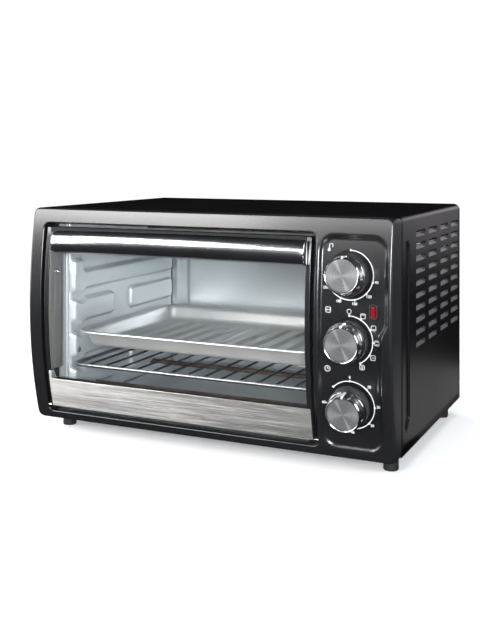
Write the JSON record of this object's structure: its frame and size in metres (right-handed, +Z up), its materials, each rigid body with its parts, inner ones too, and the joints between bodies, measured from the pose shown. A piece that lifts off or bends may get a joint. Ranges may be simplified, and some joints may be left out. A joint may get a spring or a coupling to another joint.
{
  "type": "toaster oven",
  "caption": "Countertop toaster oven: black steel cabinet, bowed front, drop-down glass door with chrome handle, turning knobs, wire rack and baking tray.",
  "frame": {"origin": "middle of the overall footprint, on the surface that the four feet stand on", "axes": "+X to the right as seen from the front, -Y out of the door, +Z up"},
  "size_m": [0.46, 0.3536, 0.2793],
  "materials": {
    "black_paint": "satin black powder coat",
    "black_plastic": "satin-gloss black moulded plastic",
    "steel": "bright aluminised steel sheet",
    "brushed": "stainless steel brushed along its length",
    "chrome": "polished chrome plate",
    "tray": "satin aluminium",
    "rod": "heat-browned steel heating tube",
    "ceramic": "white ceramic",
    "glass": "clear tempered glass",
    "lens": "clear red lamp lens",
    "clear": "clear polished plastic",
    "foot": "black"
  },
  "bodies": {
    "root": {"outer_cover": "black_paint", "rear_panel": "black_paint", "base_pan": "black_paint", "foot_front_left": "foot", "foot_rear_left": "foot", "foot_front_right": "foot", "foot_rear_right": "foot", "front_fascia": "black_plastic", "control_bracket": "steel", "lamp_bezel": "clear", "lamp_lens": "lens", "lamp_bulb": "clear", "cavity_front_frame": "steel", "cavity_left_wall": "steel", "cavity_right_wall": "steel", "cavity_roof": "steel", "cavity_floor": "steel", "cavity_back": "steel", "lower_element_front": "rod", "lower_insulator_front_right": "ceramic", "lower_insulator_front_left": "ceramic", "lower_element_rear": "rod", "lower_insulator_rear_right": "ceramic", "lower_insulator_rear_left": "ceramic", "upper_element_front": "rod", "upper_insulator_front_right": "ceramic", "upper_insulator_front_left": "ceramic", "upper_element_rear": "rod", "upper_insulator_rear_right": "ceramic", "upper_insulator_rear_left": "ceramic", "wall_screw_left": "chrome", "wall_screw_right": "chrome", "thermostat": "ceramic", "selector_switch": "steel", "timer": "steel", "cord_gland": "black_plastic", "terminal_block": "ceramic"},
    "door": {"door_stile_left": "black_plastic", "door_stile_right": "black_plastic", "door_top_rail": "black_plastic", "door_bottom_rail": "black_plastic", "door_glass": "glass", "door_trim": "brushed", "handle_bar": "chrome", "handle_bracket_left": "black_plastic", "handle_bracket_right": "black_plastic", "hinge_pin_left": "chrome", "hinge_pin_right": "chrome", "door_stud": "chrome"},
    "temperature_knob_body": {"temperature_knob": "black_plastic", "temperature_knob_cap": "chrome", "temperature_shaft": "steel"},
    "function_knob_body": {"function_knob": "black_plastic", "function_knob_cap": "chrome", "function_shaft": "steel"},
    "timer_knob_body": {"timer_knob": "black_plastic", "timer_knob_cap": "chrome", "timer_shaft": "steel"},
    "rack_body": {"wire_rack": "chrome"},
    "tray_body": {"baking_tray": "tray"}
  },
  "joints": [
    {"name": "door_hinge", "type": "hinge", "parent": "root", "child": "door", "pos_m": [-0.034, -0.13217, 0.0348], "axis": [1, 0, 0], "range_deg": [0, 85]},
    {"name": "temperature_turn", "type": "hinge", "parent": "root", "child": "temperature_knob_body", "pos_m": [0.183, -0.14847, 0.2173], "axis": [0, 0.9961, -0.0884], "range_deg": [0, 236]},
    {"name": "function_turn", "type": "hinge", "parent": "root", "child": "function_knob_body", "pos_m": [0.183, -0.15111, 0.1488], "axis": [0, 0.9999, 0.0156], "range_deg": [0, 153]},
    {"name": "timer_turn", "type": "hinge", "parent": "root", "child": "timer_knob_body", "pos_m": [0.183, -0.14499, 0.0793], "axis": [0, 0.9874, 0.1585], "range_deg": [-46, 270]},
    {"name": "rack_slide", "type": "slide", "parent": "root", "child": "rack_body", "axis": [0, -1, 0], "range_m": [0, 0.0892]},
    {"name": "tray_slide", "type": "slide", "parent": "root", "child": "tray_body", "axis": [0, -1, 0], "range_m": [0, 0.1263]}
  ],
  "couplings": [
    {"joint": "rack_slide", "follows": "door_hinge", "m_per_rad": 0.06},
    {"joint": "tray_slide", "follows": "door_hinge", "m_per_rad": 0.085}
  ]
}
